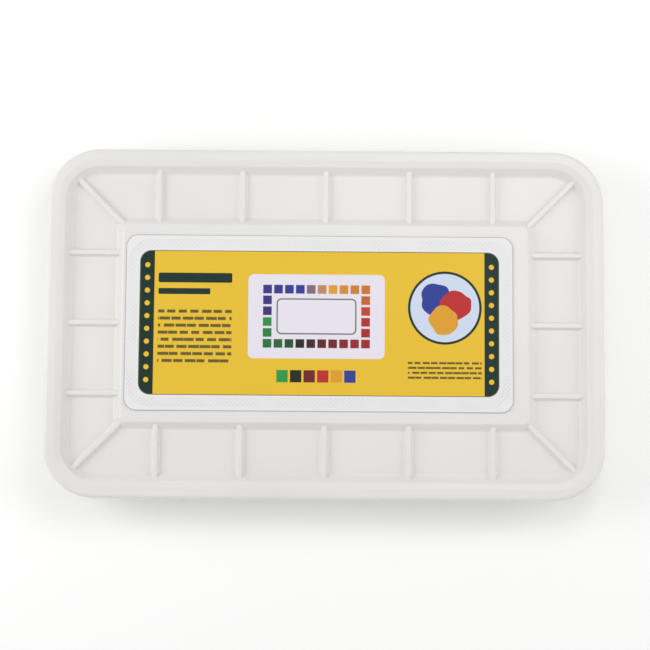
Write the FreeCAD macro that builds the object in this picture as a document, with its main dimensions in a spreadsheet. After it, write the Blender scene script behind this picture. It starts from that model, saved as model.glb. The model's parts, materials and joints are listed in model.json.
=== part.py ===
import FreeCAD, Part
import math
import os
import Sketcher

# Airtight pan palette: a tray with a ring of 28 drop-in pans round a raised mixing area,
# a lid with a moat of ribbed compartments, a gasket in the lid's rim and a loose card on top.
# Millimetres, +Z up, +X along the length. The origin is the middle of the tray's underside.

doc = FreeCAD.newDocument("PanPalette")

# Driving dimensions

sizes = {
    # Pans: square cups, narrower at the bottom, in a ring of columns and rows.
    "pan_pitch": 38,
    "pan_gap": 0.6,
    "pan_columns": 10,
    "pan_rows": 6,
    "pan_height": 25,
    "pan_wall": 1.2,
    "pan_floor": 1.4,
    "pan_draft": 1.7,
    "pan_corner": 7,
    "pan_inner_fillet": 3,
    "pan_foot_chamfer": 1.2,
    "pan_rim_chamfer": 0.3,
    # Tray: a channel for the pans, a flange with a turned-down lip, a raised mixing area.
    "border": 14.5,
    "tray_wall": 2,
    "tray_floor": 2,
    "tray_draft": 1,
    "tray_foot_round": 2.5,
    "tray_inner_round": 2,
    "channel_gap": 0.4,
    "nest_gap": 0.5,
    "lip_drop": 4,
    "edge_round": 0.8,
    "divider_height": 5,
    "divider_base": 1.8,
    "divider_top": 1.2,
    "mixing_height": 22.5,
    "mixing_rim_height": 3,
    "mixing_rim_width": 2.5,
    "mixing_slope": 2,
    "mixing_draft": 1.8,
    "mixing_corner": 5,
    "mixing_round": 1,
    # Lid: skirt, rim, two slopes down to the moat, a raised flat in the middle.
    "lid_wall": 2,
    "lid_corner": 38,
    "lid_skirt": 12,
    "skirt_gap": 0.5,
    "pan_headroom": 0.5,
    "rim_flat": 8,
    "rim_round": 3,
    "crease_round": 2,
    "gentle_run": 4.6,
    "gentle_drop": 1.8,
    "steep_run": 5,
    "moat_depth": 8.5,
    "moat_round": 2.5,
    "moat_width": 33,
    "flat_rise": 5.5,
    "flat_slope": 5,
    "flat_corner": 3.5,
    "flat_round": 2,
    # Ribs that part the moat into compartments.
    "rib_base": 5.4,
    "rib_top": 3.2,
    "rib_height": 3.4,
    "rib_round": 0.9,
    "rib_flare": 1.2,
    "side_ribs": 5,
    "end_ribs": 3,
    # Gasket in the lid's rim.
    "gasket_width": 4.4,
    "gasket_thickness": 3,
    "gasket_gap": 0.3,
    "gasket_round": 0.6,
    # Card lying on the lid's flat.
    "card_length": 284,
    "card_width": 129.4,
    "card_thickness": 0.5,
    "card_corner": 9,
    "card_shift": 4.3,
}

# Sizes and heights that follow from the driving dimensions. An inset is measured inwards
# from the lid's outer edge, and an angle from the horizontal.

levels = {
    "half_length": "Sizes.pan_columns * Sizes.pan_pitch / 2 + Sizes.border",
    "half_width": "Sizes.pan_rows * Sizes.pan_pitch / 2 + Sizes.border",
    "pan_top": "Sizes.tray_floor + Sizes.pan_height",
    "moat_under": "Levels.pan_top + Sizes.pan_headroom",
    "moat_floor": "Levels.moat_under + Sizes.lid_wall",
    "lid_top": "Levels.moat_floor + Sizes.moat_depth",
    "rim_under": "Levels.lid_top - Sizes.lid_wall",
    "flange_top": "Levels.rim_under - Sizes.gasket_thickness",
    "flange_under": "Levels.flange_top - Sizes.tray_wall",
    "skirt_bottom": "Levels.lid_top - Sizes.lid_skirt",
    "flat_top": "Levels.moat_floor + Sizes.flat_rise",
    "steep_drop": "Sizes.moat_depth - Sizes.gentle_drop",
    "crease_inset": "Sizes.rim_flat + Sizes.gentle_run",
    "crease_height": "Levels.lid_top - Sizes.gentle_drop",
    "slope_foot": "Levels.crease_inset + Sizes.steep_run",
    "flat_foot": "Levels.slope_foot + Sizes.moat_width",
    "side_rib_pitch": "2 * (Levels.half_length - Levels.flat_foot) / Sizes.side_ribs",
    "end_rib_pitch": "2 * (Levels.half_width - Levels.flat_foot) / Sizes.end_ribs",
    "gentle_angle": "atan(Sizes.gentle_drop / Sizes.gentle_run) / 1deg",
    "steep_angle": "atan(Levels.steep_drop / Sizes.steep_run) / 1deg",
    "flat_angle": "atan(Sizes.flat_rise / Sizes.flat_slope) / 1deg",
    "mean_angle": "(Levels.gentle_angle + Levels.steep_angle) / 2",
    "half_turn": "(Levels.steep_angle - Levels.gentle_angle) / 2",
    "crease_offset": "Sizes.lid_wall / cos(Levels.half_turn * 1deg)",
    "steep_tangent": "Levels.steep_drop / Sizes.steep_run",
    "steep_cosine": "cos(Levels.steep_angle * 1deg)",
    "under_foot": "Levels.slope_foot - Sizes.lid_wall * tan(Levels.steep_angle * 0.5deg)",
    "channel_inset": "Sizes.border - Sizes.channel_gap",
    "channel_length": "Levels.half_length - Levels.channel_inset",
    "channel_width": "Levels.half_width - Levels.channel_inset",
    "nest_drop": "Sizes.nest_gap / Levels.steep_cosine",
    "wall_drop": "(Sizes.nest_gap + Sizes.tray_wall) / Levels.steep_cosine",
    "lip_inset": "Sizes.lid_wall + Sizes.skirt_gap",
    "floor_strip": "Levels.slope_foot + Sizes.moat_round + Sizes.lid_wall",
    "floor_overlap": "Levels.floor_strip - Sizes.lid_wall / 2",
    "mixing_rim_top": "Sizes.mixing_height + Sizes.mixing_rim_height",
    "mixing_half_length": "(Sizes.pan_columns / 2 - 1) * Sizes.pan_pitch - Sizes.channel_gap",
    "mixing_half_width": "(Sizes.pan_rows / 2 - 1) * Sizes.pan_pitch - Sizes.channel_gap",
    "pan_half": "(Sizes.pan_pitch - Sizes.pan_gap) / 2",
    "pan_big_corner": "Sizes.lid_corner - Sizes.border - Sizes.pan_gap / 2",
    "pan_angle": "atan(Sizes.pan_draft / Sizes.pan_height) / 1deg",
}


def fill_sheet(name, cells, prefix=""):
    sheet = doc.addObject("Spreadsheet::Sheet", name)
    for row, (alias, content) in enumerate(cells.items(), start=1):
        sheet.set(f"A{row}", f"{prefix}{content}")
        sheet.setAlias(f"A{row}", alias)
    doc.recompute()
    return sheet


fill_sheet("Sizes", sizes)
level_sheet = fill_sheet("Levels", levels, prefix="=")


def value_of(expression):
    result = level_sheet.evalExpression(expression)
    return float(getattr(result, "Value", result))


# Sketching helpers

START, END = 1, 2
ORIGIN, ORIGIN_POINT = -1, 1
AXIS_X = -1


def new_body(label):
    return doc.addObject("PartDesign::Body", label)


def origin_feature(body, role):
    return next(item for item in body.Origin.OriginFeatures if item.Role == role)


def new_sketch(body, name, plane="XY_Plane", height=None):
    sketch = body.newObject("Sketcher::SketchObject", name)
    sketch.AttachmentSupport = (origin_feature(body, plane), [""])
    sketch.MapMode = "FlatFace"
    if height:
        sketch.setExpression("AttachmentOffset.Base.z", height)
    return sketch


def tie(sketch, name, expression, kind, *places):
    constraint = Sketcher.Constraint(kind, *places, value_of(expression))
    index = sketch.addConstraint(constraint)
    sketch.renameConstraint(index, name)
    sketch.setExpression(f"Constraints.{name}", expression)


def add_line(sketch, start, end):
    return sketch.addGeometry(Part.LineSegment(start, end), False)


def add_arc(sketch, centre, radius, first_angle, last_angle):
    circle = Part.Circle(centre, FreeCAD.Vector(0, 0, 1), radius)
    return sketch.addGeometry(Part.ArcOfCircle(circle, first_angle, last_angle), False)


def join_tangent(sketch, before, after):
    sketch.addConstraint(Sketcher.Constraint("Tangent", before, END, after, START))


def rounded_rectangle(sketch, half_length, half_width, radii):
    """A rectangle about the origin, from the middle of its right side, anticlockwise.

    radii holds one radius for all four corners, or four from the corner at +X +Y on.
    """
    if isinstance(radii, str):
        radii = [radii] * 4
    x = value_of(half_length)
    y = value_of(half_width)
    signs = [(1, 1), (-1, 1), (-1, -1), (1, -1)]
    chain = []
    corner_arcs = []
    point = FreeCAD.Vector(x, 0, 0)
    for quarter, (sign_x, sign_y) in enumerate(signs):
        radius = value_of(radii[quarter])
        centre = FreeCAD.Vector(sign_x * (x - radius), sign_y * (y - radius), 0)
        angle = quarter * math.pi / 2
        entry = centre + FreeCAD.Vector(math.cos(angle), math.sin(angle), 0) * radius
        chain.append(add_line(sketch, point, entry))
        corner_arcs.append(add_arc(sketch, centre, radius, angle, angle + math.pi / 2))
        chain.append(corner_arcs[-1])
        point = centre + FreeCAD.Vector(-math.sin(angle), math.cos(angle), 0) * radius
    chain.append(add_line(sketch, point, FreeCAD.Vector(x, 0, 0)))
    for before, after in zip(chain, chain[1:]):
        join_tangent(sketch, before, after)
    right, top, left, bottom, last = chain[0], chain[2], chain[4], chain[6], chain[8]
    sketch.addConstraint(Sketcher.Constraint("Coincident", last, END, right, START))
    sketch.addConstraint(Sketcher.Constraint("PointOnObject", right, START, AXIS_X))
    for upright in (right, left, last):
        sketch.addConstraint(Sketcher.Constraint("Vertical", upright))
    for level in (top, bottom):
        sketch.addConstraint(Sketcher.Constraint("Horizontal", level))
    tie(sketch, "right_side", half_length, "DistanceX", ORIGIN, ORIGIN_POINT, right, START)
    tie(sketch, "top_side", half_width, "DistanceY", ORIGIN, ORIGIN_POINT, top, START)
    tie(sketch, "whole_length", f"2 * ({half_length})", "DistanceX", left, START, right, START)
    tie(sketch, "whole_width", f"2 * ({half_width})", "DistanceY", bottom, START, top, START)
    for number, (arc, radius) in enumerate(zip(corner_arcs, radii), start=1):
        tie(sketch, f"corner_{number}", radius, "Radius", arc)


def corner_setback(before, corner, after, radius):
    """How far a round of this radius starts from the corner that it takes off."""
    turn = (corner - before).getAngle(after - corner)
    return radius * math.tan(turn / 2)


def outline(sketch, corners):
    """A closed outline through corners of (x, y, radius), where 0 is a sharp corner."""
    points = [FreeCAD.Vector(value_of(x), value_of(y), 0) for x, y, radius in corners]
    radii = [value_of(radius) if radius else 0 for x, y, radius in corners]
    count = len(corners)
    entries = []
    exits = []
    for index, corner in enumerate(points):
        before = points[index - 1]
        after = points[(index + 1) % count]
        setback = corner_setback(before, corner, after, radii[index])
        entries.append(corner + (before - corner).normalize() * setback)
        exits.append(corner + (after - corner).normalize() * setback)
    lines = [add_line(sketch, exits[i], entries[(i + 1) % count]) for i in range(count)]
    for index, (x, y, radius) in enumerate(corners):
        arriving = lines[index - 1]
        leaving = lines[index]
        if radius:
            arc = corner_arc(sketch, points[index], entries[index], exits[index], radii[index])
            tie(sketch, f"round_{index}", radius, "Radius", arc[0])
            sketch.addConstraint(Sketcher.Constraint("Tangent", arriving, END, *arc[1]))
            sketch.addConstraint(Sketcher.Constraint("Tangent", *arc[2], leaving, START))
            place = (sketch.addGeometry(Part.Point(points[index]), True), START)
            for line in (arriving, leaving):
                sketch.addConstraint(Sketcher.Constraint("PointOnObject", *place, line))
        else:
            sketch.addConstraint(Sketcher.Constraint("Coincident", arriving, END, leaving, START))
            place = (leaving, START)
        tie(sketch, f"across_{index}", x, "DistanceX", ORIGIN, ORIGIN_POINT, *place)
        if y == "0":
            sketch.addConstraint(Sketcher.Constraint("PointOnObject", *place, AXIS_X))
        else:
            tie(sketch, f"up_{index}", y, "DistanceY", ORIGIN, ORIGIN_POINT, *place)


def corner_arc(sketch, corner, entry, exit, radius):
    """The arc that rounds a corner. Returns it with its ends where the outline comes and goes."""
    inward = ((entry + exit) / 2 - corner).normalize()
    half_turn = math.asin(min(1, (exit - entry).Length / 2 / radius))
    centre = corner + inward * (radius / math.cos(half_turn))
    entry_angle = math.atan2(entry.y - centre.y, entry.x - centre.x)
    exit_angle = math.atan2(exit.y - centre.y, exit.x - centre.x)
    if (corner - entry).cross(exit - corner).z > 0:
        arc = add_arc(sketch, centre, radius, entry_angle, exit_angle)
        return arc, (arc, START), (arc, END)
    arc = add_arc(sketch, centre, radius, exit_angle, entry_angle)
    return arc, (arc, END), (arc, START)


# Feature helpers


def extrude(body, kind, name, sketch, length, taper=None, reverse=False):
    feature = body.newObject(f"PartDesign::{kind}", name)
    feature.Profile = sketch
    feature.setExpression("Length", length)
    if taper:
        feature.setExpression("TaperAngle", taper)
    feature.Reversed = reverse
    doc.recompute()
    return feature


def sweep(body, kind, name, profile, path):
    feature = body.newObject(f"PartDesign::{kind}", name)
    feature.Profile = profile
    feature.Spine = path
    doc.recompute()
    return feature


def fillet(body, name, radius, choose):
    """Round the edges of the body's last feature that choose picks."""
    base = body.Tip
    names = [f"Edge{i}" for i, edge in enumerate(base.Shape.Edges, start=1) if choose(edge)]
    feature = body.newObject("PartDesign::Fillet", name)
    feature.Base = (base, names)
    feature.setExpression("Radius", radius)
    doc.recompute()
    return feature


def chamfer(body, name, size, choose):
    """Bevel the edges of the body's last feature that choose picks."""
    base = body.Tip
    names = [f"Edge{i}" for i, edge in enumerate(base.Shape.Edges, start=1) if choose(edge)]
    feature = body.newObject("PartDesign::Chamfer", name)
    feature.Base = (base, names)
    feature.setExpression("Size", size)
    doc.recompute()
    return feature


def line_up(body, name, original, axis, length, count):
    feature = body.newObject("PartDesign::LinearPattern", name)
    feature.Originals = [original]
    feature.Direction = (origin_feature(body, axis), [""])
    feature.setExpression("Length", length)
    feature.setExpression("Occurrences", count)
    body.Tip = feature
    doc.recompute()
    return feature


def at_height(edge, height):
    box = edge.BoundBox
    near = 1e-4
    return abs(box.ZMin - height) < near and abs(box.ZMax - height) < near


def inset_x(inset):
    return f"Levels.half_length - ({inset})"


def rim_path(body):
    path = new_sketch(body, f"{body.Name}_path")
    rounded_rectangle(path, "Levels.half_length", "Levels.half_width", "Sizes.lid_corner")
    return path


def rim_profile(body, name, corners):
    """A section of the rim, as (inset, height, radius) corners."""
    profile = new_sketch(body, name, "XZ_Plane")
    outline(profile, [(inset_x(inset), height, radius) for inset, height, radius in corners])
    return profile


# Tray


def make_tray():
    body = new_body("tray")
    channel_foot = "Levels.channel_inset + Sizes.tray_draft"
    outer_top = "Levels.channel_inset - Sizes.tray_wall"
    slope_height = "Levels.moat_under + (Levels.under_foot - ({inset})) * Levels.steep_tangent"
    slope_inset = "Levels.under_foot - ({height} - Levels.moat_under) / Levels.steep_tangent"
    under_shift = "Levels.wall_drop / Levels.steep_tangent"
    over_shift = "Levels.nest_drop / Levels.steep_tangent"
    flare_under = slope_height.format(inset=outer_top) + " - Levels.wall_drop"
    flare_over = slope_height.format(inset="Levels.channel_inset") + " - Levels.nest_drop"
    flange_under_end = slope_inset.format(height="Levels.flange_under") + f" - {under_shift}"
    flange_over_end = slope_inset.format(height="Levels.flange_top") + f" - {over_shift}"
    lip_inner = "Levels.lip_inset + Sizes.tray_wall"
    lip_bottom = "Levels.flange_under - Sizes.lip_drop"
    wall = rim_profile(body, "tray_wall_section", [
        ("Levels.floor_strip", "0", 0),
        (f"{channel_foot} - Sizes.tray_wall", "0", "Sizes.tray_foot_round"),
        (outer_top, flare_under, 0),
        (flange_under_end, "Levels.flange_under", 0),
        (lip_inner, "Levels.flange_under", 0),
        (lip_inner, lip_bottom, 0),
        ("Levels.lip_inset", lip_bottom, 0),
        ("Levels.lip_inset", "Levels.flange_top", "Sizes.edge_round"),
        (flange_over_end, "Levels.flange_top", "Sizes.edge_round"),
        ("Levels.channel_inset", flare_over, "Sizes.edge_round"),
        (channel_foot, "Sizes.tray_floor", "Sizes.tray_inner_round"),
        ("Levels.floor_strip", "Sizes.tray_floor", 0),
    ])
    sweep(body, "AdditivePipe", "tray_wall", wall, rim_path(body))

    floor = new_sketch(body, "tray_floor_plan")
    rounded_rectangle(
        floor,
        "Levels.half_length - Levels.floor_overlap",
        "Levels.half_width - Levels.floor_overlap",
        "Sizes.lid_corner - Levels.floor_overlap",
    )
    extrude(body, "Pad", "tray_floor", floor, "Sizes.tray_floor")

    # The raised mixing area, solid until its underside is hollowed.
    mixing_angle = "atan(Sizes.mixing_draft / Levels.mixing_rim_top)"
    mixing = new_sketch(body, "mixing_plan")
    rounded_rectangle(
        mixing,
        "Levels.mixing_half_length + Sizes.mixing_draft",
        "Levels.mixing_half_width + Sizes.mixing_draft",
        "Sizes.mixing_corner + Sizes.mixing_draft",
    )
    extrude(body, "Pad", "mixing_block", mixing, "Levels.mixing_rim_top", f"-{mixing_angle}")

    # Low dividers that keep each pan in its place, in rows across and along the tray.
    for name, plane, axis, count, span in (
        ("cross_dividers", "XZ_Plane", "X_Axis", "Sizes.pan_columns", "Levels.channel_width"),
        ("long_dividers", "YZ_Plane", "Y_Axis", "Sizes.pan_rows", "Levels.channel_length"),
    ):
        first = f"({count} / 2 - 1) * Sizes.pan_pitch"
        section = new_sketch(body, f"{name}_section", plane)
        outline(section, [
            (f"{first} - Sizes.divider_base / 2", "Sizes.tray_floor / 2", 0),
            (f"{first} + Sizes.divider_base / 2", "Sizes.tray_floor / 2", 0),
            (f"{first} + Sizes.divider_top / 2", "Sizes.tray_floor + Sizes.divider_height", 0),
            (f"{first} - Sizes.divider_top / 2", "Sizes.tray_floor + Sizes.divider_height", 0),
        ])
        divider = extrude(body, "Pad", name, section, f"2 * {span}")
        divider.SideType = "Symmetric"
        pattern = line_up(
            body, f"{name}_row", divider, axis, f"({count} - 2) * Sizes.pan_pitch", f"{count} - 1"
        )
        pattern.Reversed = True
        doc.recompute()

    # The shallow basin that paint is mixed in.
    basin = new_sketch(body, "basin_plan", height="Levels.mixing_rim_top")
    rounded_rectangle(
        basin,
        "Levels.mixing_half_length - Sizes.mixing_rim_width",
        "Levels.mixing_half_width - Sizes.mixing_rim_width",
        "Sizes.mixing_corner",
    )
    basin_angle = "atan(Sizes.mixing_slope / Sizes.mixing_rim_height)"
    extrude(body, "Pocket", "basin", basin, "Sizes.mixing_rim_height", f"-{basin_angle}")
    rim_top = value_of("Levels.mixing_rim_top")
    fillet(body, "mixing_rim_round", "Sizes.mixing_round", lambda edge: at_height(edge, rim_top))

    hollow = new_sketch(body, "hollow_plan")
    rounded_rectangle(
        hollow,
        "Levels.mixing_half_length + Sizes.mixing_draft - Sizes.tray_wall",
        "Levels.mixing_half_width + Sizes.mixing_draft - Sizes.tray_wall",
        "Sizes.mixing_corner + Sizes.mixing_draft - Sizes.tray_wall",
    )
    hollow_height = "Sizes.mixing_height - Sizes.tray_wall"
    extrude(body, "Pocket", "hollow", hollow, hollow_height, f"-{mixing_angle}", reverse=True)
    return body


# Lid


def rib_outline(section, middle):
    """A low rib with a rounded top and a flared foot, across the moat's floor."""
    foot = "Sizes.rib_base / 2"
    skirt = "Sizes.rib_base / 2 + 2 * Sizes.rib_flare"
    top = "Levels.moat_floor + Sizes.rib_height"
    sunk = "Levels.moat_floor - Sizes.lid_wall / 2"
    outline(section, [
        (f"{middle} + {skirt}", sunk, 0),
        (f"{middle} + {skirt}", "Levels.moat_floor", 0),
        (f"{middle} + {foot}", "Levels.moat_floor", "Sizes.rib_flare"),
        (f"{middle} + Sizes.rib_top / 2", top, "Sizes.rib_round"),
        (f"{middle} - Sizes.rib_top / 2", top, "Sizes.rib_round"),
        (f"{middle} - {foot}", "Levels.moat_floor", "Sizes.rib_flare"),
        (f"{middle} - ({skirt})", "Levels.moat_floor", 0),
        (f"{middle} - ({skirt})", sunk, 0),
    ])


def corner_ribs(body):
    """Four diagonal ribs, from the flat's corners out to the middle of the rim's corners."""
    centre_x = "Levels.half_length - Sizes.lid_corner"
    centre_y = "Levels.half_width - Sizes.lid_corner"
    inward = "Levels.flat_foot - Sizes.lid_corner + Sizes.flat_slope + Sizes.flat_corner"
    for name, sign_x, sign_y, turn in (
        ("back_right_rib", 1, 1, 135),
        ("back_left_rib", -1, 1, 225),
        ("front_left_rib", -1, -1, 315),
        ("front_right_rib", 1, -1, 45),
    ):
        section = new_sketch(body, f"{name}_section", "XZ_Plane")
        upright = FreeCAD.Vector(0, 1, 0)
        turned = FreeCAD.Rotation(upright, turn)
        section.AttachmentOffset = FreeCAD.Placement(FreeCAD.Vector(), turned)
        section.setExpression("AttachmentOffset.Base.x", f"{sign_x} * ({centre_x})")
        section.setExpression("AttachmentOffset.Base.z", f"{-sign_y} * ({centre_y})")
        rib_outline(section, "0")
        rib = extrude(body, "Pad", name, section, "Sizes.lid_corner - Levels.crease_inset")
        rib.SideType = "Two sides"
        rib.setExpression("Length2", f"({inward}) * sqrt(2)")
        doc.recompute()


def make_lid():
    body = new_body("lid")
    path = rim_path(body)
    rim = rim_profile(body, "rim_section", [
        ("0", "Levels.skirt_bottom", 0),
        ("Levels.crease_inset", "Levels.skirt_bottom", 0),
        ("Levels.crease_inset", "Levels.moat_under", 0),
        ("Levels.floor_strip", "Levels.moat_under", 0),
        ("Levels.floor_strip", "Levels.moat_floor", 0),
        ("Levels.slope_foot", "Levels.moat_floor", "Sizes.moat_round"),
        ("Levels.crease_inset", "Levels.crease_height", "Sizes.crease_round"),
        ("Sizes.rim_flat", "Levels.lid_top", "Sizes.crease_round"),
        ("0", "Levels.lid_top", "Sizes.rim_round"),
    ])
    sweep(body, "AdditivePipe", "rim", rim, path)

    floor = new_sketch(body, "moat_plan", height="Levels.moat_under")
    rounded_rectangle(
        floor,
        "Levels.half_length - Levels.floor_overlap",
        "Levels.half_width - Levels.floor_overlap",
        "Sizes.lid_corner - Levels.floor_overlap",
    )
    extrude(body, "Pad", "moat_floor", floor, "Sizes.lid_wall")

    # The raised flat, solid until its underside is hollowed.
    flat = new_sketch(body, "flat_plan", height="Levels.moat_floor")
    rounded_rectangle(
        flat,
        "Levels.half_length - Levels.flat_foot",
        "Levels.half_width - Levels.flat_foot",
        "Sizes.flat_corner + Sizes.flat_slope",
    )
    flat_taper = "Levels.flat_angle * 1deg - 90deg"
    extrude(body, "Pad", "flat", flat, "Sizes.flat_rise", flat_taper)
    flat_top = value_of("Levels.flat_top")
    moat_floor = value_of("Levels.moat_floor")
    foot_reach = value_of("Levels.half_length - Levels.flat_foot + Sizes.moat_round")

    def flat_edge(edge):
        at_foot = at_height(edge, moat_floor) and edge.BoundBox.XMax < foot_reach
        return at_foot or at_height(edge, flat_top)

    fillet(body, "flat_rounds", "Sizes.flat_round", flat_edge)

    # Ribs run right across, through the solid flat, and are trimmed from below afterwards.
    for side, plane, axis, span in (
        ("side", "XZ_Plane", "X_Axis", "Levels.half_width"),
        ("end", "YZ_Plane", "Y_Axis", "Levels.half_length"),
    ):
        last = f"(Sizes.{side}_ribs - 1) * Levels.{side}_rib_pitch"
        section = new_sketch(body, f"{side}_rib_section", plane)
        rib_outline(section, f"{last} / 2")
        rib = extrude(body, "Pad", f"{side}_rib", section, f"2 * ({span} - Levels.crease_inset)")
        rib.SideType = "Symmetric"
        pattern = line_up(body, f"{side}_ribs", rib, axis, last, f"Sizes.{side}_ribs")
        pattern.Reversed = True
        doc.recompute()
    corner_ribs(body)

    # The inverted channel under the rim, which holds the gasket and nests over the tray.
    under_rim = "Sizes.rim_flat - Sizes.lid_wall * tan(Levels.gentle_angle * 0.5deg)"
    under_crease = "Levels.crease_inset - Levels.crease_offset * sin(Levels.mean_angle * 1deg)"
    crease_under = "Levels.crease_height - Levels.crease_offset * cos(Levels.mean_angle * 1deg)"
    below = "Levels.skirt_bottom - Sizes.lid_wall"
    channel = rim_profile(body, "channel_section", [
        ("Sizes.lid_wall", below, 0),
        ("Levels.under_foot", below, 0),
        ("Levels.under_foot", "Levels.moat_under", 0),
        (under_crease, crease_under, 0),
        (under_rim, "Levels.rim_under", 0),
        ("Sizes.lid_wall", "Levels.rim_under", 0),
    ])
    sweep(body, "SubtractivePipe", "channel", channel, path)

    hollow = new_sketch(body, "flat_hollow_plan", height="Levels.moat_under")
    hollow_foot = "Levels.flat_foot + Sizes.lid_wall * tan(Levels.flat_angle * 0.5deg)"
    rounded_rectangle(
        hollow,
        f"Levels.half_length - ({hollow_foot})",
        f"Levels.half_width - ({hollow_foot})",
        "Sizes.flat_corner + Sizes.flat_slope - Sizes.lid_wall * tan(Levels.flat_angle * 0.5deg)",
    )
    extrude(body, "Pocket", "flat_hollow", hollow, "Sizes.flat_rise", flat_taper, reverse=True)
    return body


# Gasket


def make_gasket():
    body = new_body("gasket")
    outer = "Sizes.lid_wall + Sizes.gasket_gap"
    inner = f"{outer} + Sizes.gasket_width"
    section = rim_profile(body, "gasket_section", [
        (outer, "Levels.rim_under", "Sizes.gasket_round"),
        (inner, "Levels.rim_under", "Sizes.gasket_round"),
        (inner, "Levels.flange_top", "Sizes.gasket_round"),
        (outer, "Levels.flange_top", "Sizes.gasket_round"),
    ])
    sweep(body, "AdditivePipe", "gasket_ring", section, rim_path(body))
    return body


# Pans


def make_pan(label, column, row, big_corner=False, turn=0):
    """A cup that stands on the tray's floor. Columns and rows count from the back left."""
    body = new_body(label)

    def corners(inset):
        small = f"Sizes.pan_corner - ({inset})"
        first = f"Levels.pan_big_corner - ({inset})" if big_corner else small
        return [first, small, small, small]

    def plan(name, inset, height=None):
        sketch = new_sketch(body, f"{label}_{name}", height=height)
        half = f"Levels.pan_half - ({inset})"
        rounded_rectangle(sketch, half, half, corners(inset))
        return sketch

    lean = "Levels.pan_angle * 1deg"
    outside = plan("outside", "Sizes.pan_draft")
    extrude(body, "Pad", f"{label}_cup", outside, "Sizes.pan_height", lean)
    inside = plan("inside", "Sizes.pan_wall", "Sizes.pan_height")
    depth = "Sizes.pan_height - Sizes.pan_floor"
    extrude(body, "Pocket", f"{label}_well", inside, depth, f"-{lean}")
    floor = value_of("Sizes.pan_floor")
    top = value_of("Sizes.pan_height")
    fillet(body, f"{label}_fillet", "Sizes.pan_inner_fillet", lambda e: at_height(e, floor))
    chamfer(body, f"{label}_foot", "Sizes.pan_foot_chamfer", lambda e: at_height(e, 0))
    chamfer(body, f"{label}_rim", "Sizes.pan_rim_chamfer", lambda e: at_height(e, top))

    turned = FreeCAD.Rotation(FreeCAD.Vector(0, 0, 1), turn)
    body.Placement = FreeCAD.Placement(FreeCAD.Vector(), turned)
    across = f"({column} - (Sizes.pan_columns + 1) / 2) * Sizes.pan_pitch"
    along = f"((Sizes.pan_rows + 1) / 2 - {row}) * Sizes.pan_pitch"
    body.setExpression("Placement.Base.x", across)
    body.setExpression("Placement.Base.y", along)
    body.setExpression("Placement.Base.z", "Sizes.tray_floor")
    return body


def make_pans():
    last_column = sizes["pan_columns"]
    last_row = sizes["pan_rows"]
    pans = [
        make_pan("corner_pan_back_right", last_column, 1, big_corner=True, turn=0),
        make_pan("corner_pan_back_left", 1, 1, big_corner=True, turn=90),
        make_pan("corner_pan_front_left", 1, last_row, big_corner=True, turn=180),
        make_pan("corner_pan_front_right", last_column, last_row, big_corner=True, turn=270),
    ]
    for column in range(2, last_column):
        pans.append(make_pan(f"back_pan_{column - 1}", column, 1))
        pans.append(make_pan(f"front_pan_{column - 1}", column, last_row))
    for row in range(2, last_row):
        pans.append(make_pan(f"left_pan_{row - 1}", 1, row))
        pans.append(make_pan(f"right_pan_{row - 1}", last_column, row))
    return pans


# Card


def make_card():
    body = new_body("card")
    plan = new_sketch(body, "card_plan")
    rounded_rectangle(plan, "Sizes.card_length / 2", "Sizes.card_width / 2", "Sizes.card_corner")
    extrude(body, "Pad", "card_stock", plan, "Sizes.card_thickness")
    body.setExpression("Placement.Base.x", "-Sizes.card_shift")
    body.setExpression("Placement.Base.z", "Levels.flat_top")
    return body


def write_parts(bodies):
    """Stop if anything in the document failed, then write each piece to its own file."""
    doc.recompute()
    for item in doc.Objects:
        if "Invalid" in item.State or "Error" in item.State:
            raise RuntimeError(f"{item.Label} failed: {item.State}")
    for body in bodies:
        shape = body.Shape
        if shape.isNull() or not shape.isValid() or len(shape.Solids) != 1:
            raise RuntimeError(f"{body.Label} is not one valid solid")
    os.makedirs("parts", exist_ok=True)
    for body in bodies:
        body.Shape.exportStep(f"parts/{body.Label}.step")
        print(f"{body.Label}: {body.Shape.Volume / 1000:.2f} cubic centimetres")


write_parts([make_tray(), make_lid(), make_gasket(), make_card()] + make_pans())
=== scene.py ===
import json
import math

import bmesh
import bpy
from mathutils import Matrix, Vector


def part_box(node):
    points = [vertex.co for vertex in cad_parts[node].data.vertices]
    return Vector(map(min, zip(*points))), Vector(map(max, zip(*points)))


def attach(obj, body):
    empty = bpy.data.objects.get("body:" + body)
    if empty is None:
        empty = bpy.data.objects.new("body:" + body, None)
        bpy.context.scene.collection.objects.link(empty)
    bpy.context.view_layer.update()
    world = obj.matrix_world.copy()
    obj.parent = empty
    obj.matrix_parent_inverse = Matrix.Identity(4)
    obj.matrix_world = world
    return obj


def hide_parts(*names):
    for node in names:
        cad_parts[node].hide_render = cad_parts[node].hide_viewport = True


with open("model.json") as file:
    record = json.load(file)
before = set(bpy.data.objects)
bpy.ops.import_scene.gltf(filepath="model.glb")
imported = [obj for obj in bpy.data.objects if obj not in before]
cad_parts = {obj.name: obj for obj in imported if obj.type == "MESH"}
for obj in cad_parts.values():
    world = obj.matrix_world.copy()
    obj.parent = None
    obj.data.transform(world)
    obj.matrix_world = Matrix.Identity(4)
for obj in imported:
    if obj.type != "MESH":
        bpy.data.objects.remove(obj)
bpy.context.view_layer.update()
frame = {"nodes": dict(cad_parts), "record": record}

mm = 0.001


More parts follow.
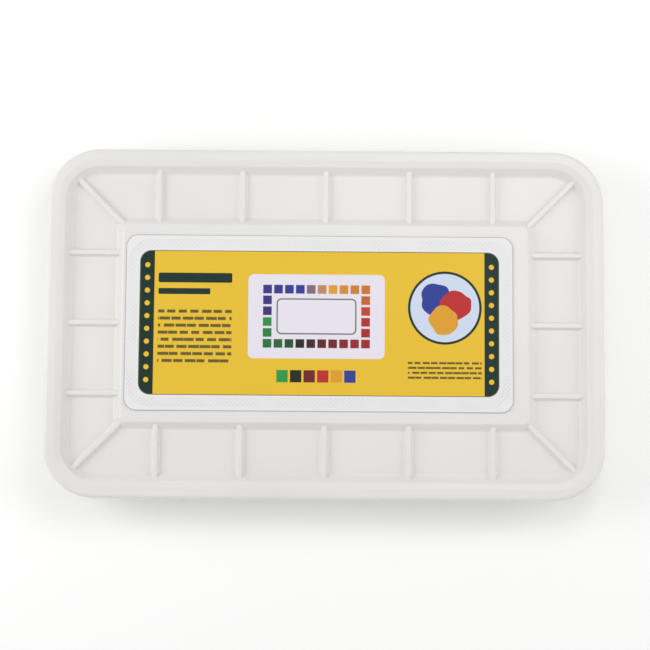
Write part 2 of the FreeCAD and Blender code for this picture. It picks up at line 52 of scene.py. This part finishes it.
class Wire:  # one socket of a material, with operators that add Math nodes
    def __init__(self, tree, socket=None):
        self.tree = tree
        self.socket = socket

    def node(self, kind, settings=None, values=None, output=0):
        made = self.tree.nodes.new(kind)
        for name, value in (settings or {}).items():
            if name == "stops":
                setStops(made.color_ramp, value)
            else:
                setattr(made, name, value)
        for name, value in (values or {}).items():
            if isinstance(value, Wire):
                self.tree.links.new(value.socket, made.inputs[name])
            else:
                made.inputs[name].default_value = value
        return Wire(self.tree, made.outputs[output])

    def math(self, operation, *others, clamp=False):
        settings = {"operation": operation, "use_clamp": clamp}
        return self.node("ShaderNodeMath", settings, dict(enumerate((self, *others))))

    def __add__(self, other):
        return self.math("ADD", other)

    __radd__ = __add__

    def __sub__(self, other):
        return self.math("SUBTRACT", other)

    def __rsub__(self, other):
        return (self * -1) + other

    def __mul__(self, other):
        return self.math("MULTIPLY", other)

    __rmul__ = __mul__

    def __truediv__(self, other):
        return self.math("DIVIDE", other)

    def __abs__(self):
        return self.math("ABSOLUTE")

    def inside(self, soft):  # a distance, negative inside, as a mask with a soft edge
        return self.math("MULTIPLY_ADD", -1 / soft, 0.5, clamp=True)

    def blend(self, under, over):  # colour over another, by this mask
        values = {0: self, 6: under, 7: over}
        return self.node("ShaderNodeMix", {"data_type": "RGBA"}, values, output=2)


def setStops(ramp, stops):  # a new ramp already has a stop at each end
    for place, colour in stops[1:-1]:
        ramp.elements.new(place).color = colour
    ramp.elements[0].color = stops[0][1]
    ramp.elements[-1].color = stops[-1][1]


def newMaterial(name):
    material = bpy.data.materials.new(name)
    material.use_nodes = True
    return material, Wire(material.node_tree).node("ShaderNodeTexCoord", output="Object")


def finishMaterial(material, constants, wires):
    tree = material.node_tree
    shader = tree.nodes["Principled BSDF"]
    for name, value in constants.items():
        shader.inputs[name].default_value = value
    for name, wire in wires.items():
        tree.links.new(wire.socket, shader.inputs[name])
    return material


def noise(coords, scale, detail=2.0, roughness=0.5):
    values = {"Vector": coords, "Scale": scale, "Detail": detail, "Roughness": roughness}
    return coords.node("ShaderNodeTexNoise", {}, values)


def bump(height, strength, distance, over=None):
    values = {"Height": height, "Strength": strength, "Distance": distance}
    if over:
        values["Normal"] = over
    return height.node("ShaderNodeBump", {}, values)


def rgb(red, green, blue):  # a colour as a picture program shows it, 0 to 255
    def linear(value):
        share = value / 255
        return share / 12.92 if share <= 0.04045 else ((share + 0.055) / 1.055) ** 2.4
    return (linear(red), linear(green), linear(blue), 1.0)


def split(vector):
    made = vector.node("ShaderNodeSeparateXYZ", {}, {"Vector": vector})
    return [Wire(vector.tree, socket) for socket in made.socket.node.outputs]


def boxDistance(u, v, middle, half, corner=0.0):
    across = abs(u - middle[0]) - (half[0] - corner)
    along = abs(v - middle[1]) - (half[1] - corner)
    deeper = across.math("MAXIMUM", along)
    if not corner:
        return deeper
    overX = across.math("MAXIMUM", 0.0)
    overY = along.math("MAXIMUM", 0.0)
    return (overX * overX + overY * overY).math("SQRT") + deeper.math("MINIMUM", 0.0) - corner


# Plastics

pinRing = dict(radius=3.5, line=0.25)  # millimetres, what an ejector pin of the mould leaves
plasticLooks = {
    "lid": dict(colour=rgb(234, 232, 230), shade=rgb(228, 226, 223), rough=0.36, grain=900, fine=0.05,
                pins=dict(under=33.4, half=(138, 66), pitch=46)),
    "tray": dict(colour=rgb(236, 235, 233), shade=rgb(231, 230, 227), rough=0.32, grain=700, fine=0.04,
                 pins=dict(under=20.9, half=(138, 69), pitch=46),
                 coated=dict(above=22.0, half=(147, 71), smoother=0.12)),
    "pan": dict(colour=rgb(233, 233, 232), shade=rgb(226, 226, 225), rough=0.38, grain=1100, fine=0.05),
}


def pinMarks(u, v, height, under, half, pitch):  # a grid of faint rings on the underside
    across = (u / pitch).math("FRACT") * pitch - pitch / 2
    along = (v / pitch).math("FRACT") * pitch - pitch / 2
    ring = abs((across * across + along * along).math("SQRT") - pinRing["radius"]) - pinRing["line"]
    below = (height - under).inside(soft=0.1)
    return ring.inside(soft=0.3) * below * boxDistance(u, v, (0, 0), half).inside(soft=1.0)


def coating(u, v, height, above, half, smoother):  # the mixing surface, glossier than the rest
    inner = boxDistance(u, v, (0, 0), half).inside(soft=0.5)
    return (above - height).inside(soft=0.2) * inner * smoother


def plastic(name, colour, shade, rough, grain, fine, pins=None, coated=None):
    material, coords = newMaterial(name)
    u, v, height = [axis / mm for axis in split(coords)]
    cloud = noise(coords, scale=14, detail=3)
    specks = noise(coords, scale=grain, roughness=0.6)
    scuffs = noise(coords, scale=60, detail=4, roughness=0.7)
    tone = cloud.math("MULTIPLY_ADD", 1.6, -0.3, clamp=True)
    roughness = (scuffs - 0.5) * 0.12 + rough
    relief = bump(specks + cloud * 0.5, strength=fine, distance=0.2 * mm)
    if pins:
        relief = bump(pinMarks(u, v, height, **pins), strength=0.4, distance=0.3 * mm, over=relief)
    if coated:
        roughness = roughness - coating(u, v, height, **coated)
    wires = {"Base Color": tone.blend(shade, colour), "Roughness": roughness, "Normal": relief}
    constants = {"Subsurface Weight": 0.12, "Subsurface Radius": (1.0, 0.95, 0.9),
                 "Subsurface Scale": 0.0015, "Specular IOR Level": 0.45}
    return finishMaterial(material, constants, wires)


sealLook = dict(colour=rgb(208, 213, 213), shade=rgb(196, 203, 205), rough=0.42)


def silicone(name, colour, shade, rough):
    material, coords = newMaterial(name)
    cloud = noise(coords, scale=40, detail=3)
    wires = {
        "Base Color": cloud.blend(shade, colour),
        "Roughness": cloud * 0.15 + rough,
        "Normal": bump(noise(coords, scale=1500), strength=0.08, distance=0.2 * mm),
    }
    constants = {"Subsurface Weight": 0.3, "Subsurface Scale": 0.002}
    return finishMaterial(material, constants, wires)


materials = {
    "lid_plastic": plastic("lidPlastic", **plasticLooks["lid"]),
    "tray_plastic": plastic("trayPlastic", **plasticLooks["tray"]),
    "pan_plastic": plastic("panPlastic", **plasticLooks["pan"]),
    "seal_rubber": silicone("sealSilicone", **sealLook),
}
slotOf = {part["node"]: part["material_slot"] for part in frame["record"]["subparts"]}
for nodeName, nodeObject in frame["nodes"].items():
    if slotOf[nodeName] in materials:
        nodeObject.data.materials.clear()
        nodeObject.data.materials.append(materials[slotOf[nodeName]])
print("plastics done")

# Printed card: a sheet with a slight bow, loose on the raised flat

cardLow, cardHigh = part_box("card")
cardSize = cardHigh - cardLow
cardMiddle = (cardLow + cardHigh) / 2
cardForm = dict(corner=9 * mm, cornerSteps=12, lift=0.02 * mm, thick=0.45 * mm, endRise=0.27 * mm,
                cornerRise=0.18 * mm, cuts=(28, 12), crease=0.5)  # crease in radians
# relief: painted shade of the embossed weave on the card's border; edge: a painted shadow line along the
# card's edge
inks = dict(paper=rgb(232, 232, 232), white=rgb(235, 235, 235), relief=rgb(222, 222, 222),
            edge=rgb(170, 172, 170), line=rgb(96, 104, 84), yellow=rgb(232, 191, 48), green=rgb(5, 42, 34),
            lilac=rgb(231, 226, 236), sky=rgb(206, 218, 236), blue=rgb(38, 58, 150), red=rgb(186, 40, 38),
            ochre=rgb(220, 158, 40))
paints = [rgb(40, 150, 70), rgb(24, 26, 26), rgb(110, 26, 34), inks["red"], inks["ochre"], inks["blue"],
          rgb(60, 40, 110)]
paintStops = [(index / (len(paints) - 1), paint) for index, paint in enumerate(paints)]

# Places in millimetres from the card's middle, pans and well in pan pitches, strokes in shares of a step
cardPrint = dict(
    blur=0.2,
    # the embossed weave has no bump, its painted shade is drawn in the colour
    weave=dict(inner=2.2, outer=9.2, blur=0.4, waves=1.9, level=0.12),
    # width in millimetres of the painted shadow line along the card's edge
    edgeShadow=0.4,
    panel=dict(middle=(0, 0), half=(131.3, 52.7), corner=8.0),
    panelLine=0.55,
    bands=dict(start=121.0, pitch=9.4, count=10, radius=1.9),
    picture=dict(middle=(-2, 5), half=(50, 31), corner=4.0),
    pans=dict(pitch=8.0, outer=(5, 3), inner=(4, 2), half=0.4),
    well=dict(half=(3.6, 1.6), corner=0.4),
    wellLine=0.06,
    badge=dict(middle=(92, 12), radius=27.0),
    badgeLine=1.8,
    dabs=(("blue", -7, 6, 12), ("red", 8, 2, 11), ("ochre", -1, -9, 11)),
    dabWobble=9,
    longBar=dict(middle=(-91, 33), half=(27, 3.6), corner=1.2),
    shortBar=dict(middle=(-99, 23), half=(19, 2.2), corner=0.8),
    stroke=dict(half=0.22, shift=0.37, shortest=0.68, spread=0.3),
    wideRows=dict(middle=(-91, -10), half=(27, 20.8), pitch=5.2, dash=8.5),
    closeRows=dict(middle=(92, -34), half=(27, 7.2), pitch=3.6, dash=6.0),
    rowInk=0.85,
    chips=dict(middle=(-2, -39), half=(30, 4.5)),
    chipPitch=9.9,
    chipHalf=0.42,
)


def discDistance(u, v, middle, radius):
    across = u - middle[0]
    along = v - middle[1]
    return (across * across + along * along).math("SQRT") - radius


def scatter(column, row):  # a chance value for each cell
    place = column.node("ShaderNodeCombineXYZ", {}, {0: column, 1: row})
    return column.node("ShaderNodeTexWhiteNoise", {"noise_dimensions": "2D"}, {"Vector": place})


def paintAt(share):
    return share.node("ShaderNodeValToRGB", {"stops": paintStops}, {"Fac": share})


def dashRows(u, v, middle, half, pitch, dash):  # rows of plain dashes, no two rows alike
    stroke = cardPrint["stroke"]
    rows = (v - middle[1]) / pitch
    row = rows.math("FLOOR")
    bar = (abs(rows.math("FRACT") - 0.5) - stroke["half"]).inside(soft=0.12)
    steps = u / dash + row * stroke["shift"]
    length = scatter(steps.math("FLOOR"), row) * stroke["spread"] + stroke["shortest"]
    dashed = (steps.math("FRACT") - length).inside(soft=0.04)
    return bar * dashed * boxDistance(u, v, middle, half).inside(soft=0.3)


# Each of these gives layers of ink, a mask and a colour, from the lowest up


def borderInks(u, v, coords, panel):  # painted shade of a woven relief on the white border, a painted shadow line along the cut edge, the yellow panel
    weave, blur = cardPrint["weave"], cardPrint["blur"]
    threads = (u * weave["waves"]).math("SINE") * (v * weave["waves"]).math("SINE")
    border = (panel - weave["outer"]).inside(weave["blur"]) - (panel - weave["inner"]).inside(weave["blur"])
    fade = noise(coords, scale=45).math("MULTIPLY_ADD", 2.0, -0.5, clamp=True)
    rim = boxDistance(u, v, (0, 0), cardSize.xy / (2 * mm), cardForm["corner"] / mm)
    # painted shade of the weave's relief, drawn as darker lines in the colour
    return [((threads - weave["level"]).inside(soft=0.2) * border * fade, inks["relief"]),
            # a painted shadow line round the card's edge
            (1 - (rim + cardPrint["edgeShadow"]).inside(blur), inks["edge"]),
            ((panel - cardPrint["panelLine"]).inside(blur), inks["line"]),
            (panel.inside(blur), inks["yellow"])]


def bandInks(u, v, panel):  # a green band with a column of dots at each end of the panel
    bands, blur = cardPrint["bands"], cardPrint["blur"]
    band = (bands["start"] - abs(u)).math("MAXIMUM", panel).inside(blur)
    middle = ((bands["start"] + cardPrint["panel"]["half"][0]) / 2, 0)
    dotRow = (v / bands["pitch"]).math("FRACT") * bands["pitch"] - bands["pitch"] / 2
    dot = discDistance(abs(u), dotRow, middle, bands["radius"]).inside(blur)
    ranked = (abs(v) - bands["pitch"] * bands["count"] / 2).inside(blur)
    return [(band, inks["green"]), (dot * ranked, inks["yellow"])]


def pictureInks(u, v):  # a ring of coloured squares round an empty field
    picture, pans = cardPrint["picture"], cardPrint["pans"]
    column = (u - picture["middle"][0]) / pans["pitch"]
    row = (v - picture["middle"][1]) / pans["pitch"]
    cellX = abs(column.math("FRACT") - 0.5)
    cellY = abs(row.math("FRACT") - 0.5)
    cell = (cellX.math("MAXIMUM", cellY) - pans["half"]).inside(soft=0.04)
    outer = boxDistance(column, row, (0, 0), pans["outer"]).inside(soft=0.02)
    inner = boxDistance(column, row, (0, 0), pans["inner"]).inside(soft=0.02)
    angle = (row.math("FLOOR") + 0.5).math("ARCTAN2", column.math("FLOOR") + 0.5)
    paint = paintAt(angle / (2 * math.pi) + 0.5)
    well = abs(boxDistance(column, row, (0, 0), **cardPrint["well"])) - cardPrint["wellLine"]
    return [(boxDistance(u, v, **picture).inside(cardPrint["blur"]), inks["lilac"]),
            ((outer - inner) * cell, paint),
            (well.inside(soft=0.03), inks["line"])]


def badgeInks(u, v, coords):  # three dabs of paint in a round badge
    badge = discDistance(u, v, **cardPrint["badge"])
    middleX, middleY = cardPrint["badge"]["middle"]
    wobble = noise(coords, scale=70, detail=1) * cardPrint["dabWobble"] - cardPrint["dabWobble"] / 2
    layers = [(badge.inside(cardPrint["blur"]), inks["green"]),
              ((badge + cardPrint["badgeLine"]).inside(cardPrint["blur"]), inks["sky"])]
    for ink, moveX, moveY, size in cardPrint["dabs"]:
        dab = discDistance(u + wobble, v, (middleX + moveX, middleY + moveY), size)
        layers.append((dab.inside(soft=0.3), inks[ink]))
    return layers


def barInks(u, v):  # two solid bars and two blocks of dashes
    blur = cardPrint["blur"]
    bars = [boxDistance(u, v, **cardPrint[name]).inside(blur) for name in ("longBar", "shortBar")]
    rows = [dashRows(u, v, **cardPrint[name]) * cardPrint["rowInk"] for name in ("wideRows", "closeRows")]
    return [(mask, inks["green"]) for mask in bars + rows]


def chipInks(u, v):  # a row of paint chips
    chips = cardPrint["chips"]
    count = len(paints) - 1
    chip = (u - chips["middle"][0]) / cardPrint["chipPitch"]
    paint = paintAt((chip.math("FLOOR") + count / 2) / count)
    square = (abs(chip.math("FRACT") - 0.5) - cardPrint["chipHalf"]).inside(soft=0.02)
    return [(square * boxDistance(u, v, **chips).inside(cardPrint["blur"]), paint)]


def cardInk(coords):
    x, y = split(coords)[:2]
    u = (x - cardMiddle.x) / mm
    v = (y - cardMiddle.y) / mm
    panel = boxDistance(u, v, **cardPrint["panel"])
    layers = borderInks(u, v, coords, panel) + bandInks(u, v, panel) + pictureInks(u, v)
    layers += badgeInks(u, v, coords) + barInks(u, v) + chipInks(u, v)
    ink = noise(coords, scale=300, detail=3).blend(inks["paper"], inks["white"])
    for mask, colour in layers:
        ink = mask.blend(ink, colour)
    return ink


def printedFace(name):
    material, coords = newMaterial(name)
    wires = {
        "Base Color": cardInk(coords),
        "Roughness": noise(coords, scale=80, detail=3) * 0.1 + 0.46,
        "Normal": bump(noise(coords, scale=900, detail=3), strength=0.04, distance=0.2 * mm),
    }
    return finishMaterial(material, {"Specular IOR Level": 0.35}, wires)


boardLook = dict(colour=rgb(230, 228, 222), shade=rgb(206, 203, 196), rough=0.65)


def boardFace(name, colour, shade, rough):
    material, coords = newMaterial(name)
    fibre = noise(coords, scale=700, detail=4, roughness=0.7)
    wires = {
        "Base Color": fibre.blend(shade, colour),
        "Roughness": fibre * 0.2 + rough,
        "Normal": bump(fibre, strength=0.15, distance=0.2 * mm),
    }
    return finishMaterial(material, {"Specular IOR Level": 0.3}, wires)


def addCard(corner, cornerSteps, lift, thick, endRise, cornerRise, cuts, crease):
    shape = bmesh.new()
    length, width = cardSize.x, cardSize.y
    bmesh.ops.create_grid(shape, x_segments=1, y_segments=1, size=0.5)
    bmesh.ops.scale(shape, vec=(length, width, 1), verts=shape.verts[:])
    bmesh.ops.bevel(shape, geom=shape.verts[:], offset=corner, affect="VERTICES", segments=cornerSteps,
                    profile=0.5, material=-1)
    for axis, size, count in ((0, length, cuts[0]), (1, width, cuts[1])):
        for step in range(1, count):
            place = Vector((0, 0, 0))
            place[axis] = size * (step / count - 0.5)
            normal = Vector((0, 0, 0))
            normal[axis] = 1
            everything = shape.verts[:] + shape.edges[:] + shape.faces[:]
            bmesh.ops.bisect_plane(shape, geom=everything, plane_co=place, plane_no=normal)
    top = bmesh.ops.extrude_face_region(shape, geom=shape.faces[:])["geom"]
    lifted = [item for item in top if isinstance(item, bmesh.types.BMVert)]
    bmesh.ops.translate(shape, vec=(0, 0, thick), verts=lifted)
    bmesh.ops.recalc_face_normals(shape, faces=shape.faces[:])
    for vert in shape.verts:  # the ends rise a little off the flat, the corners most
        reachX = abs(vert.co.x) / (length / 2)
        reachY = abs(vert.co.y) / (width / 2)
        vert.co.z += endRise * reachX ** 3 + cornerRise * reachX * reachY ** 2
    bmesh.ops.translate(shape, vec=(cardMiddle.x, cardMiddle.y, cardLow.z + lift), verts=shape.verts[:])
    shape.normal_update()
    for face in shape.faces:
        face.smooth = True
        face.material_index = 0 if face.normal.z > 0.5 else 1  # print on top, bare board elsewhere
    for edge in shape.edges:
        edge.smooth = edge.calc_face_angle() < crease
    mesh = bpy.data.meshes.new("cardSheet")
    shape.to_mesh(mesh)
    shape.free()
    mesh.materials.append(printedFace("cardPrint"))
    mesh.materials.append(boardFace("cardBoard", **boardLook))
    made = bpy.data.objects.new("cardSheet", mesh)
    bpy.context.scene.collection.objects.link(made)
    return made


cardSheet = addCard(**cardForm)
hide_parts("card")
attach(cardSheet, "card")
print("card done")

# Camera and light

camera = dict(distance=1.34, elevation=83.5, roll=0.45, lens=101.6, aim=(0.0, -1.5 * mm, 38 * mm))
lights = {
    "leftBox": dict(place=(-0.9, 0.1, 0.6), size=0.6, power=4.0),
    "rightBox": dict(place=(0.9, 0.1, 0.6), size=0.6, power=2.15),
    "frontBox": dict(place=(0.2, -2.0, 1.0), size=1.5, power=4.2),
    "topBox": dict(place=(0.2, 0.3, 0.7), size=0.35, power=1.0),
}
skyLight = 0.555
floorForm = dict(halfSize=30.0, glow=0.06, colour=rgb(252, 252, 251), shade=rgb(250, 250, 250))


def addCamera(distance, elevation, roll, lens, aim):
    data = bpy.data.cameras.new("photoCamera")
    data.lens = lens
    data.sensor_width = 36
    data.clip_start = 0.05
    data.clip_end = 20
    made = bpy.data.objects.new("photoCamera", data)
    bpy.context.scene.collection.objects.link(made)
    tilt = math.radians(elevation)
    back = Vector((0, -math.cos(tilt), math.sin(tilt)))
    turned = (-back).to_track_quat("-Z", "Y").to_matrix().to_4x4()
    rolled = Matrix.Rotation(math.radians(roll), 4, "Z")
    made.matrix_world = Matrix.Translation(Vector(aim) + back * distance) @ turned @ rolled
    bpy.context.scene.camera = made


def addLight(name, place, size, power):
    data = bpy.data.lights.new(name, "AREA")
    data.shape = "SQUARE"
    data.size = size
    data.energy = power
    made = bpy.data.objects.new(name, data)
    bpy.context.scene.collection.objects.link(made)
    made.location = place
    made.visible_camera = False  # a low view shows no bright square
    made.rotation_euler = (-Vector(place)).to_track_quat("-Z", "Y").to_euler()


def addWorld(strength):
    world = bpy.data.worlds.new("studio")
    world.use_nodes = True
    world.node_tree.nodes["Background"].inputs["Color"].default_value = (1, 1, 1, 1)
    world.node_tree.nodes["Background"].inputs["Strength"].default_value = strength
    bpy.context.scene.world = world


def addFloor(halfSize, glow, colour, shade):
    shape = bmesh.new()
    bmesh.ops.create_grid(shape, x_segments=1, y_segments=1, size=halfSize)
    mesh = bpy.data.meshes.new("floor")
    shape.to_mesh(mesh)
    shape.free()
    made = bpy.data.objects.new("floor", mesh)
    bpy.context.scene.collection.objects.link(made)
    material, coords = newMaterial("paleFloor")
    constants = {"Roughness": 0.9, "Specular IOR Level": 0.1, "Emission Strength": glow,
                 "Emission Color": (1, 1, 1, 1)}
    finishMaterial(material, constants, {"Base Color": noise(coords, scale=3).blend(shade, colour)})
    mesh.materials.append(material)


addCamera(**camera)
for lightName, light in lights.items():
    addLight(lightName, **light)
addWorld(skyLight)
addFloor(**floorForm)
bpy.context.scene.view_settings.view_transform = "Standard"
print("camera and light done")
